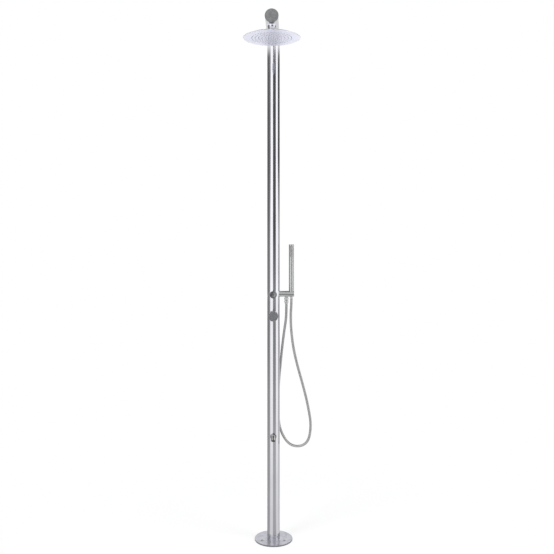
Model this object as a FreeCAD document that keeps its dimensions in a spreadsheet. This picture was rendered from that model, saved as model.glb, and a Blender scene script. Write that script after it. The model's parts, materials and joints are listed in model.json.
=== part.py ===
import FreeCAD, Part

import math
import os

import Sketcher
from FreeCAD import Rotation, Vector

# Outdoor shower post: a round stainless column on a floor plate, with a rain head on a ball
# joint, a mixer knob, a diverter knob, a hand shower in a side bar and a foot spout.
# Origin: floor centre of the plate on the column's axis. +Z up, -Y to the user, +X to the hand shower.

SIZES = {
    # column and arm
    "post_dia": 60.0,  # outer diameter of the column and of the arm
    "post_wall": 2.0,
    "arm_height": 2400.0,  # floor to the arm's axis
    "arm_reach": 346.0,  # column axis to the face of the end cap
    "cap_thick": 4.0,
    "cap_spigot": 10.0,
    "cap_wall": 3.0,
    "edge_round": 1.0,  # small radius on the polished edges
    "neck_play": 0.2,  # gap round the swivel's neck in the arm's lower hole
    "elbow_dia": 30.0,
    "elbow_rise": 10.0,  # arm's axis to the elbow's top
    "elbow_port": 5.0,  # how far the elbow's pipe port stands out behind
    "elbow_grip": 13.0,  # how deep the swivel's neck screws in
    # floor plate
    "base_dia": 180.0,
    "base_thick": 6.0,
    "base_passage": 52.0,  # hole that the supplies come up through
    "anchor_pcd": 120.0,
    "anchor_count": 3.0,
    "anchor_hole": 8.5,
    "anchor_head": 16.0,  # countersink for a flush M8 screw
    # supplies
    "pipe_dia": 12.0,
    "pipe_wall": 1.0,
    "pipe_socket": 10.0,  # how deep a pipe end sits in a body
    "port_wall": 3.0,  # metal round a pipe socket
    "riser_bend": 30.0,  # bend radius of the riser's centreline
    "inlet_level": 10.0,  # lower face of the inlet nuts
    "supply_forward": 4.0,  # column's axis forward to the supplies
    "inlet_gap": 4.0,  # between the two inlet nuts
    "inlet_flats": 22.0,
    "inlet_nut_height": 16.0,
    "inlet_thread": 15.0,  # minor diameter of the G3/8 female thread
    "inlet_thread_depth": 10.0,
    "inlet_shelf": 1.0,  # metal between the thread and the pipe's seat
    "port_fit": 0.05,  # gap all round where one piece slides into another
    # mixer
    "mixer_drop": 98.0,  # diverter's axis down to the mixer's
    "mixer_knob_dia": 47.0,
    "mixer_knob_length": 28.5,
    "mixer_sleeve_dia": 42.0,
    "mixer_sleeve_reach": 36.0,  # column surface to the sleeve's front
    "mixer_boss_dia": 36.0,
    "mixer_boss_reach": 16.0,
    "mixer_body_height": 56.0,
    "mixer_cartridge_dia": 26.0,
    "mixer_cartridge_depth": 32.0,
    "mixer_spindle_dia": 8.0,
    "mixer_lip": 4.0,  # front wall of the sleeve
    "mixer_nut_height": 6.0,
    "mixer_square_length": 14.0,  # square end of the spindle, inside the knob
    "mixer_knob_wall": 3.0,
    "mixer_hub_wall": 5.0,
    "mixer_knob_recess": 4.0,
    "grub_dia": 5.0,
    "grub_length": 8.0,
    "grub_place": 9.0,  # knob's back to the grub screw's axis
    "grub_key": 2.6,  # hole for the key
    "grub_key_depth": 3.0,
    # diverter
    "diverter_height": 1174.0,
    "diverter_knob_dia": 34.0,
    "diverter_knob_length": 18.5,
    "diverter_sleeve_dia": 30.0,
    "diverter_sleeve_reach": 16.0,
    "diverter_boss_dia": 25.0,
    "diverter_boss_reach": 4.0,
    "diverter_body_height": 52.0,
    "diverter_cartridge_dia": 22.0,
    "diverter_cartridge_depth": 26.0,
    "diverter_spindle_dia": 7.0,
    "diverter_lip": 3.0,
    "diverter_nut_height": 4.0,
    "diverter_square_length": 11.0,
    "diverter_knob_wall": 2.0,
    "diverter_hub_wall": 3.5,
    "diverter_knob_recess": 3.5,
    "diverter_dish": 2.0,  # depth of the dish in the knob's face
    "diverter_screw_dia": 4.0,
    "diverter_screw_head": 7.0,
    "diverter_cap_dia": 10.0,
    "clamp_relief": 0.5,  # clamp nuts stand this far inside their boss
    "turn_gap": 0.5,  # between a knob and its sleeve
    "body_gap": 4.0,  # column's inner wall to the valve bodies
    # foot spout
    "foot_height": 500.0,
    "foot_pipe_dia": 10.0,
    "foot_pipe_gap": 6.0,  # column's inner wall to the foot pipe
    "foot_pipe_bend": 15.0,
    "foot_pipe_inset": 3.0,  # column's surface back to the pipe's end
    "foot_nipple_depth": 9.0,  # column's surface back to the nipple's end
    "foot_rosette_dia": 30.0,
    "foot_rosette_thick": 6.0,
    "foot_spout_dia": 22.0,
    "foot_spout_wall": 1.5,
    "foot_spout_run": 6.0,  # level stretch before the bend
    "foot_spout_bend": 13.0,  # bend radius of the centreline
    "foot_spout_angle": 50.0,  # degrees below level
    "foot_spout_nose": 12.0,
    "aerator_length": 9.0,
    "aerator_inset": 1.0,  # spout's rim to the insert's lip
    # holder bar
    "bar_dia": 30.0,
    "bar_reach": 98.5,  # column axis to the bar's end
    "bar_nipple_dia": 16.5,
    "bar_waterway": 9.0,
    "bar_nipple_grip": 11.5,  # how deep the nipple sits in the diverter's body
    "union_offset": 61.5,  # column axis to the hose union
    "holder_offset": 85.5,  # column axis to the handset's axis
    "holder_top_dia": 23.4,
    "holder_bottom_dia": 14.4,
    "holder_slot": 14.0,
    "holder_gap": 0.3,  # handset nut to the holder's cone
    # hose
    "hose_dia": 12.0,
    "hose_bore": 8.0,
    "union_ball_dia": 20.5,
    "union_ball_drop": 23.5,  # bar axis to the ball's centre
    "union_thread_dia": 14.0,
    "union_nut_dia": 19.6,
    "union_nut_top": 32.0,  # bar axis down to the nut's upper face
    "union_nut_length": 17.0,
    "union_nut_chamfer": 6.0,  # nut's length before its taper
    "union_grip": 9.0,  # how deep the outlet's neck sits in the bar
    "union_thread_length": 8.0,
    "hose_collar_wall": 0.6,  # thin end of the swivel nut round the hose
    "union_washer_thick": 1.0,
    "cone_nut_tail": 9.0,  # nut's length below the bar
    "cone_nut_wall": 2.2,  # at its wide end
    "cone_nut_thread": 6.0,
    "cone_washer_thick": 1.2,
    # hand shower
    "handset_dia": 24.0,
    "handset_wall": 1.5,
    "handset_length": 222.0,  # above the bar
    "handset_cap_thick": 3.0,
    "spray_length": 56.0,
    "spray_width": 14.0,
    "spray_margin": 6.0,  # top of the hand shower to the spray face
    "spray_plate_thick": 2.0,
    "spray_strip_thick": 1.5,
    "spray_strip_inset": 1.0,
    "spray_rows": 9.0,
    "spray_row_margin": 6.0,  # end of the spray face to the first and last row
    "spray_pitch": 3.4,  # across a row of three
    "spray_hole": 2.0,
    "spray_tip": 1.5,
    "spray_proud": 0.8,
    # ball joint
    "head_setback": 30.0,  # end cap's face back to the head's axis
    "ball_drop": 42.0,  # arm axis to the ball's centre
    "ball_dia": 24.0,
    "liner_thick": 1.45,
    "ball_play": 0.05,
    "swivel_nut_dia": 37.0,
    "swivel_nut_wall": 3.0,
    "swivel_opening": 21.0,
    "swivel_nut_foot": 26.0,
    "swivel_neck_dia": 20.8,
    "stem_dia": 13.0,
    "stem_length": 15.5,  # ball centre to the stem's collar
    "stem_collar_dia": 24.0,
    "stem_collar_thick": 3.5,
    "stem_thread_length": 10.0,
    # rain head
    "head_dia": 250.0,
    "boss_rise": 11.4,  # boss above the chamber's crown
    "head_plate": 2.0,
    "nozzle_rings": 6.0,
    "nozzle_pitch": 14.5,
    "nozzle_hole": 3.4,
    "nozzle_tip": 2.4,
    "nozzle_proud": 1.2,
    "mat_thick": 2.0,
    "gasket_thick": 0.6,
    "gasket_width": 6.0,
    "chamber_wall": 1.2,
    "chamber_margin": 19.0,  # plate's rim to the chamber's flange
    "chamber_depth": 10.0,
    "chamber_crown": 5.0,
}

# Route of the shower hose between its two end points, in millimetres: x, y and the drop below the
# union's outlet. It goes down behind the column, round the loop beside it and up to the hand shower.
HOSE_ROUTE = [
    (61.5, 0, 29), (59.5, 6, 75), (50, 14, 136), (39, 29, 229), (30, 42, 322), (22, 47, 414),
    (21, 48, 506), (26, 41, 610), (79, 24, 690), (161, -1, 675), (182, 0, 588), (164, 0, 480),
    (141, 0, 388), (115, 0, 298), (94, 0, 208), (83, 0, 112), (82.5, 0, 40), (85.5, 0, 5),
]
RUN_SHARE = 0.45  # share of the shorter run that a bend may take up
OVERCUT = 1.0  # how far a cutting outline runs past the metal that it cuts
SADDLE_DEPTH = 2.0  # how far a fitting's back is made into the column before the saddle cut

doc = FreeCAD.newDocument("OutdoorShowerPost")
sheet = doc.addObject("Spreadsheet::Sheet", "Sizes")
nodes = {}


class Size:
    """A number and the sheet expression that gives it, so that a sum of sizes stays bound."""

    def __init__(self, value, text):
        self.value = float(value)
        self.text = text

    def __float__(self):
        return self.value

    def __add__(self, other):
        other = as_size(other)
        return Size(self.value + other.value, f"({self.text} + {other.text})")

    def __sub__(self, other):
        other = as_size(other)
        return Size(self.value - other.value, f"({self.text} - {other.text})")

    def __rsub__(self, other):
        return as_size(other) - self

    def __mul__(self, other):
        other = as_size(other)
        return Size(self.value * other.value, f"({self.text} * {other.text})")

    def __truediv__(self, other):
        other = as_size(other)
        return Size(self.value / other.value, f"({self.text} / {other.text})")

    def __neg__(self):
        return Size(-self.value, f"(0 - {self.text})")

    __radd__ = __add__
    __rmul__ = __mul__


def as_size(thing):
    if isinstance(thing, Size):
        return thing
    return Size(thing, f"({float(thing)})")


def root(size):
    return Size(math.sqrt(size.value), f"sqrt({size.text})")


def sine(degrees):
    return Size(math.sin(math.radians(degrees.value)), f"sin({degrees.text} * 1deg)")


def cosine(degrees):
    return Size(math.cos(math.radians(degrees.value)), f"cos({degrees.text} * 1deg)")


def chord(radius, offset):
    """Half width of a circle at this distance from its centre."""
    return root(radius * radius - offset * offset)


class Dims:
    """The sheet's sizes by name."""


dim = Dims()
for row, (alias, number) in enumerate(SIZES.items(), start=1):
    sheet.set(f"A{row}", alias)
    sheet.set(f"B{row}", str(number))
    sheet.setAlias(f"B{row}", alias)
    setattr(dim, alias, Size(number, f"Sizes.{alias}"))
doc.recompute()


def bind(thing, name, size):
    thing.setExpression(name, as_size(size).text)


def new_body(label, x=0, y=0, z=0):
    """An empty body that stands at this place and becomes a node of the same name."""
    body = doc.addObject("PartDesign::Body", label)
    body.Label = label
    for axis, size in zip("xyz", (x, y, z)):
        bind(body, f"Placement.Base.{axis}", size)
    nodes[label] = body
    return body


class Arc:
    """Between two corners of an outline: the bend from one to the next about this centre."""

    def __init__(self, x, y):
        self.x = as_size(x)
        self.y = as_size(y)


def fix_point(sketch, geometry, end, x, y):
    for kind, size in (("DistanceX", x), ("DistanceY", y)):
        if size is None:
            continue
        size = as_size(size)
        index = sketch.addConstraint(Sketcher.Constraint(kind, -1, 1, geometry, end, size.value))
        sketch.renameConstraint(index, f"{kind}_{geometry}_{end}")
        bind(sketch, f"Constraints.{kind}_{geometry}_{end}", size)


def draw_circle(sketch, x, y, radius):
    x, y, radius = as_size(x), as_size(y), as_size(radius)
    circle = Part.Circle(Vector(x.value, y.value, 0), Vector(0, 0, 1), radius.value)
    geometry = sketch.addGeometry(circle, False)
    fix_point(sketch, geometry, 3, x, y)
    index = sketch.addConstraint(Sketcher.Constraint("Radius", geometry, radius.value))
    sketch.renameConstraint(index, f"Radius_{geometry}")
    bind(sketch, f"Constraints.Radius_{geometry}", radius)


def draw_edge(sketch, start, finish, arc):
    """One line or arc; gives the geometry's number and which of its ends come first and last."""
    if arc is None:
        return sketch.addGeometry(Part.LineSegment(start, finish), False), 1, 2
    centre = Vector(arc.x.value, arc.y.value, 0)
    first = math.atan2(start.y - centre.y, start.x - centre.x)
    last = math.atan2(finish.y - centre.y, finish.x - centre.x)
    left_turn = (start - centre).cross(finish - centre).z > 0
    circle = Part.Circle(centre, Vector(0, 0, 1), (start - centre).Length)
    if left_turn:
        return sketch.addGeometry(Part.ArcOfCircle(circle, first, last), False), 1, 2
    return sketch.addGeometry(Part.ArcOfCircle(circle, last, first), False), 2, 1


def draw_outline(sketch, items, closed=True):
    """Lines and arcs through the corners, each corner bound to the sheet."""
    corners = [item for item in items if not isinstance(item, Arc)]
    bends = {}
    for item in items:
        if isinstance(item, Arc):
            bends[count - 1] = item
        else:
            count = 1 if item is corners[0] else count + 1
    points = [Vector(float(x), float(y), 0) for x, y in corners]
    last = len(corners) if closed else len(corners) - 1
    edges = []
    for place in range(last):
        following = points[(place + 1) % len(points)]
        edges.append(draw_edge(sketch, points[place], following, bends.get(place)))
    for place, (geometry, start, end) in enumerate(edges):
        fix_point(sketch, geometry, start, *corners[place])
        if place in bends:
            flat = abs(points[place].y - points[(place + 1) % len(points)].y) < 1e-6
            arc = bends[place]
            fix_point(sketch, geometry, 3, None if flat else arc.x, arc.y if flat else None)
        if place + 1 < len(edges) or closed:
            joined, joined_start, _ = edges[(place + 1) % len(edges)]
            sketch.addConstraint(Sketcher.Constraint("Coincident", geometry, end, joined, joined_start))
    if not closed:
        geometry, _, end = edges[-1]
        fix_point(sketch, geometry, end, *corners[-1])


def origin_part(body, role):
    """One of the body's own planes or axes, such as XY_Plane or Z_Axis."""
    return [item for item in body.Origin.OriginFeatures if item.Role == role][0]


def new_sketch(body, plane, lift=0):
    """A sketch on the body's own XY, XZ or YZ plane, moved along the plane's normal by the lift."""
    sketch = body.newObject("Sketcher::SketchObject", f"{body.Label}_sketch")
    sketch.AttachmentSupport = (origin_part(body, f"{plane}_Plane"), [""])
    sketch.MapMode = "FlatFace"
    bind(sketch, "AttachmentOffset.Base.z", lift)
    return sketch


def outline_sketch(body, plane, items, lift=0):
    sketch = new_sketch(body, plane, lift)
    draw_outline(sketch, items)
    return sketch


def circle_sketch(body, plane, circles, lift=0):
    sketch = new_sketch(body, plane, lift)
    for x, y, radius in circles:
        draw_circle(sketch, x, y, radius)
    return sketch


def turn(body, along, items):
    """Revolve a profile. Along Z its points are (radius, z); along X or Y they are (place, radius)."""
    plane, axis = {"Z": ("XZ", "V_Axis"), "X": ("XZ", "H_Axis"), "Y": ("YZ", "H_Axis")}[along]
    sketch = outline_sketch(body, plane, items)
    feature = body.newObject("PartDesign::Revolution", f"{body.Label}_turned")
    feature.Profile = sketch
    feature.ReferenceAxis = (sketch, [axis])
    feature.Angle = 360
    return feature


def turned_forward(label, height, items, y=0):
    """A piece turned about a level axis at this height; its points are (distance in front, radius)."""
    body = new_body(label, 0, y, height)
    flipped = []
    for item in items:
        flipped.append(Arc(-item.x, item.y) if isinstance(item, Arc) else (-as_size(item[0]), item[1]))
    turn(body, "Y", flipped)
    return body


def turned_upright(label, x, y, z, items):
    body = new_body(label, x, y, z)
    turn(body, "Z", items)
    return body


def pad(body, sketch, length, reverse=False):
    feature = body.newObject("PartDesign::Pad", f"{body.Label}_pad")
    feature.Profile = sketch
    bind(feature, "Length", length)
    feature.Reversed = reverse
    return feature


def pocket(body, sketch, length=None, reverse=False, both=False, taper=0):
    """Cut away the sketch: to a depth, through all one way, or through all both ways."""
    feature = body.newObject("PartDesign::Pocket", f"{body.Label}_pocket")
    feature.Profile = sketch
    if length is None:
        feature.Type = "ThroughAll"
    else:
        bind(feature, "Length", length)
    feature.Reversed = reverse
    if both:
        feature.SideType = "Symmetric"
    if taper:
        feature.TaperAngle = taper
    return feature


def polar_copies(body, originals, count):
    """Repeat features evenly about the body's Z axis."""
    pattern = body.newObject("PartDesign::PolarPattern", f"{body.Label}_polar")
    pattern.Originals = originals
    pattern.Axis = (origin_part(body, "Z_Axis"), [""])
    pattern.Angle = 360
    bind(pattern, "Occurrences", count)
    body.Tip = pattern


def upright_copies(body, original, sketch, length, count):
    """Repeat one feature along its sketch's vertical axis."""
    pattern = body.newObject("PartDesign::LinearPattern", f"{body.Label}_rows")
    pattern.Originals = [original]
    pattern.Direction = (sketch, ["V_Axis"])
    bind(pattern, "Length", length)
    bind(pattern, "Occurrences", count)
    body.Tip = pattern


def saddle(body):
    """Shape a fitting's back to the column that it stands on; the body's Z axis is the column's."""
    pocket(body, circle_sketch(body, "XY", [(0, 0, post_r)]), both=True)


def tube_upright(label, x, y, low, high, diameter, wall):
    inner = diameter / 2 - wall
    outer = diameter / 2
    return turned_upright(label, x, y, 0, [(inner, low), (outer, low), (outer, high), (inner, high)])


def bent_tube(label, height, outer, inner, path, end_plane):
    """A tube in the column's middle plane, swept along lines and arcs given as (y, z).

    Its first section lies in the XY plane's direction where the path sets out upright, and in
    the XZ plane's where it sets out level.
    """
    body = new_body(label, 0, 0, height)
    spine = new_sketch(body, "YZ")
    draw_outline(spine, path, closed=False)
    start_y, start_z = (as_size(size) for size in path[0])
    centre, lift = (start_y, start_z) if end_plane == "XY" else (start_z, -start_y)
    rings = [(0, centre, outer), (0, centre, inner)]
    feature = body.newObject("PartDesign::AdditivePipe", f"{body.Label}_pipe")
    feature.Profile = circle_sketch(body, end_plane, rings, lift)
    feature.Spine = spine


# Sizes that several pieces share

post_r = dim.post_dia / 2
post_in = post_r - dim.post_wall
pipe_r = dim.pipe_dia / 2
socket_r = pipe_r + dim.port_fit
body_r = post_in - dim.body_gap
supply_x = (dim.inlet_flats + dim.inlet_gap) / 2
supply_y = -dim.supply_forward
foot_pipe_r = dim.foot_pipe_dia / 2
foot_pipe_y = post_in - foot_pipe_r - dim.foot_pipe_gap
foot_pipe_stop = post_r - dim.foot_pipe_inset
cap_back = dim.arm_reach - dim.cap_thick
head_y = dim.arm_reach - dim.head_setback
mixer_z = dim.diverter_height - dim.mixer_drop
ball_z = dim.arm_height - dim.ball_drop
mixer_boss_face = post_r + dim.mixer_boss_reach
mixer_floor = mixer_boss_face - dim.mixer_cartridge_depth
mixer_sleeve_face = post_r + dim.mixer_sleeve_reach
mixer_knob_back = mixer_sleeve_face + dim.turn_gap
mixer_square = dim.mixer_spindle_dia * 0.8
diverter_boss_face = post_r + dim.diverter_boss_reach
diverter_floor = diverter_boss_face - dim.diverter_cartridge_depth
diverter_sleeve_face = post_r + dim.diverter_sleeve_reach
diverter_knob_back = diverter_sleeve_face + dim.turn_gap
diverter_square = dim.diverter_spindle_dia * 0.8
mixer_top = mixer_z + dim.mixer_body_height / 2
mixer_bottom = mixer_z - dim.mixer_body_height / 2
diverter_top = dim.diverter_height + dim.diverter_body_height / 2
diverter_bottom = dim.diverter_height - dim.diverter_body_height / 2
bar_r = dim.bar_dia / 2


def square(side, x=0, y=0):
    half = side / 2
    return [(x - half, y - half), (x + half, y - half), (x + half, y + half), (x - half, y + half)]


def hexagon(flats):
    """Corners of a nut's outline, flats left and right."""
    long_r = flats / math.sqrt(3)
    half = flats / 2
    return [(half, long_r / 2), (0, long_r), (-half, long_r / 2),
            (-half, -long_r / 2), (0, -long_r), (half, -long_r / 2)]


def make_base_plate():
    base_r = dim.base_dia / 2
    hole_r = dim.base_passage / 2
    top = dim.base_thick
    edge = dim.edge_round
    plate = turned_upright("base_plate", 0, 0, 0, [
        (hole_r, 0), (base_r, 0), (base_r, top - edge),
        Arc(base_r - edge, top - edge), (base_r - edge, top), (hole_r, top)])
    anchor_y = dim.anchor_pcd / 2
    sketch = circle_sketch(plate, "XY", [(0, anchor_y, dim.anchor_hole / 2)])
    hole = pocket(plate, sketch, both=True)
    cone_sketch = circle_sketch(plate, "XY", [(0, anchor_y, dim.anchor_head / 2)], lift=top)
    cone = pocket(plate, cone_sketch, length=(dim.anchor_head - dim.anchor_hole) / 2, taper=-45)
    polar_copies(plate, [hole, cone], dim.anchor_count)


def make_post_tube():
    post = new_body("post_tube")
    rings = circle_sketch(post, "XY", [(0, 0, post_r), (0, 0, post_in)], lift=dim.base_thick)
    pad(post, rings, dim.arm_height + post_r - dim.base_thick)
    reach = post_r + OVERCUT
    top = dim.arm_height + reach
    mitre = outline_sketch(post, "YZ", [
        (-reach, dim.arm_height - reach), (reach, top), (reach, top + OVERCUT), (-reach, top + OVERCUT)])
    pocket(post, mitre, both=True)
    front_holes = circle_sketch(post, "XZ", [
        (0, mixer_z, dim.mixer_boss_dia / 2 + dim.turn_gap),
        (0, dim.diverter_height, dim.diverter_boss_dia / 2 + dim.turn_gap),
        (0, dim.foot_height, foot_nipple_r() + dim.turn_gap)])
    pocket(post, front_holes, reverse=True)
    side_hole = circle_sketch(post, "YZ", [(0, dim.diverter_height, dim.bar_nipple_dia / 2 + dim.turn_gap)])
    pocket(post, side_hole, reverse=True)


def make_arm():
    arm = new_body("arm_tube", 0, 0, dim.arm_height)
    turn(arm, "Y", [(-cap_back, post_in), (-cap_back, post_r), (post_r, post_r), (post_r, post_in)])
    reach = post_r + OVERCUT
    pocket(arm, outline_sketch(arm, "YZ", [(-reach, -reach), (reach, -reach), (reach, reach)]), both=True)
    hole = circle_sketch(arm, "XY", [(0, -head_y, dim.swivel_neck_dia / 2 + dim.neck_play)])
    pocket(arm, hole)

    spigot_r = post_in - dim.port_fit
    spigot_back = cap_back - dim.cap_spigot
    edge = dim.edge_round
    turned_forward("arm_end_cap", dim.arm_height, [
        (dim.arm_reach, 0), (dim.arm_reach, post_r - edge),
        Arc(dim.arm_reach - edge, post_r - edge), (dim.arm_reach - edge, post_r),
        (cap_back, post_r), (cap_back, spigot_r), (spigot_back, spigot_r),
        (spigot_back, spigot_r - dim.cap_wall), (cap_back, spigot_r - dim.cap_wall), (cap_back, 0)])


def make_head_inlet():
    """Brass elbow inside the arm: riser pipe from behind, ball joint from below."""
    block_r = dim.elbow_dia / 2
    foot = -chord(post_in, block_r) + dim.neck_play
    top = dim.elbow_rise
    elbow = turned_upright("head_inlet_elbow", 0, -head_y, dim.arm_height, [
        (0, foot), (block_r, foot), (block_r, top), (0, top)])
    port_r = pipe_r + dim.port_wall
    port_end = block_r + dim.elbow_port
    pad(elbow, circle_sketch(elbow, "XZ", [(0, 0, port_r)]), port_end, reverse=True)
    pocket(elbow, circle_sketch(elbow, "XZ", [(0, 0, socket_r)], lift=-(port_end - dim.pipe_socket)))
    pocket(elbow, circle_sketch(elbow, "XZ", [(0, 0, pipe_r - dim.pipe_wall)]))
    thread_r = dim.swivel_neck_dia / 2 + dim.port_fit
    pocket(elbow, circle_sketch(elbow, "XY", [(0, 0, thread_r)], lift=foot + dim.elbow_grip))
    pocket(elbow, circle_sketch(elbow, "XY", [(0, 0, pipe_r - dim.pipe_wall)]))
    return port_end


def make_pipes(port_end):
    inner = pipe_r - dim.pipe_wall
    for label, side in (("hot", -1), ("cold", 1)):
        x = supply_x * side
        seat = dim.inlet_thread_depth + dim.inlet_shelf
        tube_upright(f"{label}_pipe", x, supply_y, dim.inlet_level + seat, mixer_bottom + dim.pipe_socket,
                     dim.pipe_dia, dim.pipe_wall)
        nut = new_body(f"{label}_inlet_nut", x, supply_y, dim.inlet_level)
        pad(nut, outline_sketch(nut, "XY", hexagon(dim.inlet_flats)), dim.inlet_nut_height)
        thread_mouth = circle_sketch(nut, "XY", [(0, 0, dim.inlet_thread / 2)], lift=dim.inlet_thread_depth)
        pocket(nut, thread_mouth)
        pocket(nut, circle_sketch(nut, "XY", [(0, 0, inner)]), reverse=True)
        pocket(nut, circle_sketch(nut, "XY", [(0, 0, socket_r)], lift=seat), reverse=True)
    tube_upright("link_pipe", 0, supply_y, mixer_top - dim.pipe_socket,
                 diverter_bottom + dim.pipe_socket, dim.pipe_dia, dim.pipe_wall)
    bend = dim.riser_bend
    riser_start = diverter_top - dim.pipe_socket
    riser_end = head_y - port_end + dim.pipe_socket
    bent_tube("riser_pipe", 0, pipe_r, inner, [
        (0, riser_start), (0, dim.arm_height - bend), Arc(-bend, dim.arm_height - bend),
        (-bend, dim.arm_height), (-riser_end, dim.arm_height)], "XY")
    foot_bend = dim.foot_pipe_bend
    bent_tube("foot_pipe", 0, foot_pipe_r, foot_pipe_r - dim.pipe_wall, [
        (foot_pipe_y, diverter_bottom + dim.pipe_socket), (foot_pipe_y, dim.foot_height + foot_bend),
        Arc(foot_pipe_y - foot_bend, dim.foot_height + foot_bend),
        (foot_pipe_y - foot_bend, dim.foot_height), (-foot_pipe_stop, dim.foot_height)], "XY")


def make_mixer():
    height = mixer_z
    half = dim.mixer_body_height / 2
    boss_r = dim.mixer_boss_dia / 2
    bore_r = dim.mixer_cartridge_dia / 2
    body = turned_upright("mixer_body", 0, 0, height, [
        (0, -half), (body_r, -half), (body_r, half), (0, half)])
    pad(body, circle_sketch(body, "XZ", [(0, 0, boss_r)]), mixer_boss_face)
    flat = foot_pipe_y - foot_pipe_r - dim.port_wall
    reach, back_reach = half + OVERCUT, body_r + OVERCUT
    pocket(body, outline_sketch(body, "YZ", [
        (flat, -reach), (back_reach, -reach), (back_reach, reach), (flat, reach)]), both=True)
    pocket(body, circle_sketch(body, "XZ", [(0, 0, bore_r)], lift=mixer_floor), reverse=True)
    # cartridge floor: an inlet port low on each side and the mixed water's port above
    port_r = bore_r / 4
    inlet_x, inlet_drop, outlet_rise = supply_x * 0.7, bore_r * 0.3, bore_r * 0.65
    ports = circle_sketch(body, "XZ", [
        (-inlet_x, -inlet_drop, port_r), (inlet_x, -inlet_drop, port_r), (0, outlet_rise, port_r)],
        lift=-supply_y)
    pocket(body, ports, length=mixer_floor + supply_y, reverse=True)
    drill_r = pipe_r - dim.pipe_wall * 2
    sides = [(supply_x * side, supply_y) for side in (-1, 1)]
    drills = [(x, y, drill_r) for x, y in sides]
    pocket(body, circle_sketch(body, "XY", drills, lift=-inlet_drop))
    pocket(body, circle_sketch(body, "XY", [(x, y, socket_r) for x, y in sides],
                               lift=-(half - dim.pipe_socket)))
    pocket(body, circle_sketch(body, "XY", [(0, supply_y, drill_r)], lift=outlet_rise), reverse=True)
    pocket(body, circle_sketch(body, "XY", [(0, supply_y, socket_r)], lift=half - dim.pipe_socket),
           reverse=True)

    fit = dim.port_fit
    spindle_r = dim.mixer_spindle_dia / 2
    shoulder = mixer_boss_face - 2
    nose = mixer_boss_face + 4
    pit = mixer_boss_face - 8
    neck_r = bore_r * 0.7
    turned_forward("mixer_cartridge", height, [
        (mixer_floor, 0), (mixer_floor, bore_r - fit), (shoulder, bore_r - fit), (shoulder, neck_r),
        (nose, neck_r), (nose, spindle_r + fit), (pit, spindle_r + fit), (pit, 0)])
    nut_front = mixer_boss_face + dim.mixer_nut_height
    nut_r = boss_r - dim.clamp_relief
    turned_forward("mixer_clamp_nut", height, [
        (shoulder, neck_r + fit), (shoulder, bore_r - fit), (mixer_boss_face, bore_r - fit),
        (mixer_boss_face, nut_r), (nut_front, nut_r), (nut_front, neck_r + fit)])

    sleeve_r = dim.mixer_sleeve_dia / 2
    lip = mixer_sleeve_face - dim.mixer_lip
    back = chord(post_r, sleeve_r) - SADDLE_DEPTH
    sleeve = turned_forward("mixer_sleeve", height, [
        (back, boss_r + fit), (back, sleeve_r), (mixer_sleeve_face, sleeve_r),
        (mixer_sleeve_face, neck_r + fit), (lip, neck_r + fit), (lip, boss_r + fit)])
    saddle(sleeve)

    spindle_end = mixer_knob_back + dim.mixer_square_length
    spindle = turned_forward("mixer_spindle", height, [
        (pit + fit * 4, 0), (pit + fit * 4, spindle_r), (mixer_knob_back, spindle_r), (mixer_knob_back, 0)])
    pad(spindle, outline_sketch(spindle, "XZ", square(mixer_square), lift=mixer_knob_back),
        spindle_end - mixer_knob_back)

    knob_r = dim.mixer_knob_dia / 2
    knob_face = mixer_knob_back + dim.mixer_knob_length
    edge = dim.edge_round
    recess = mixer_knob_back + dim.mixer_knob_recess
    skirt_r = knob_r - dim.mixer_knob_wall
    hub_r = spindle_r + dim.mixer_hub_wall
    knob = turned_forward("mixer_handle", height, [
        (knob_face, 0), (knob_face, knob_r - edge), Arc(knob_face - edge, knob_r - edge),
        (knob_face - edge, knob_r), (mixer_knob_back, knob_r), (mixer_knob_back, skirt_r),
        (recess, skirt_r), (recess, hub_r), (mixer_knob_back + edge, hub_r), (mixer_knob_back + edge, 0)])
    pocket(knob, outline_sketch(knob, "XZ", square(mixer_square + fit * 2), lift=spindle_end + fit))
    grub_y = -(mixer_knob_back + dim.grub_place)
    grub_r = dim.grub_dia / 2
    pocket(knob, circle_sketch(knob, "XY", [(0, grub_y, grub_r + fit * 2)]))
    grub_tip = -(mixer_square / 2 + fit)
    grub_end = grub_tip - dim.grub_length
    key_r = dim.grub_key / 2
    key_floor = grub_end + dim.grub_key_depth
    turned_upright("mixer_grub_screw", 0, grub_y, height, [
        (0, grub_tip), (grub_r, grub_tip), (grub_r, grub_end), (key_r, grub_end), (key_r, key_floor),
        (0, key_floor)])


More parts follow.
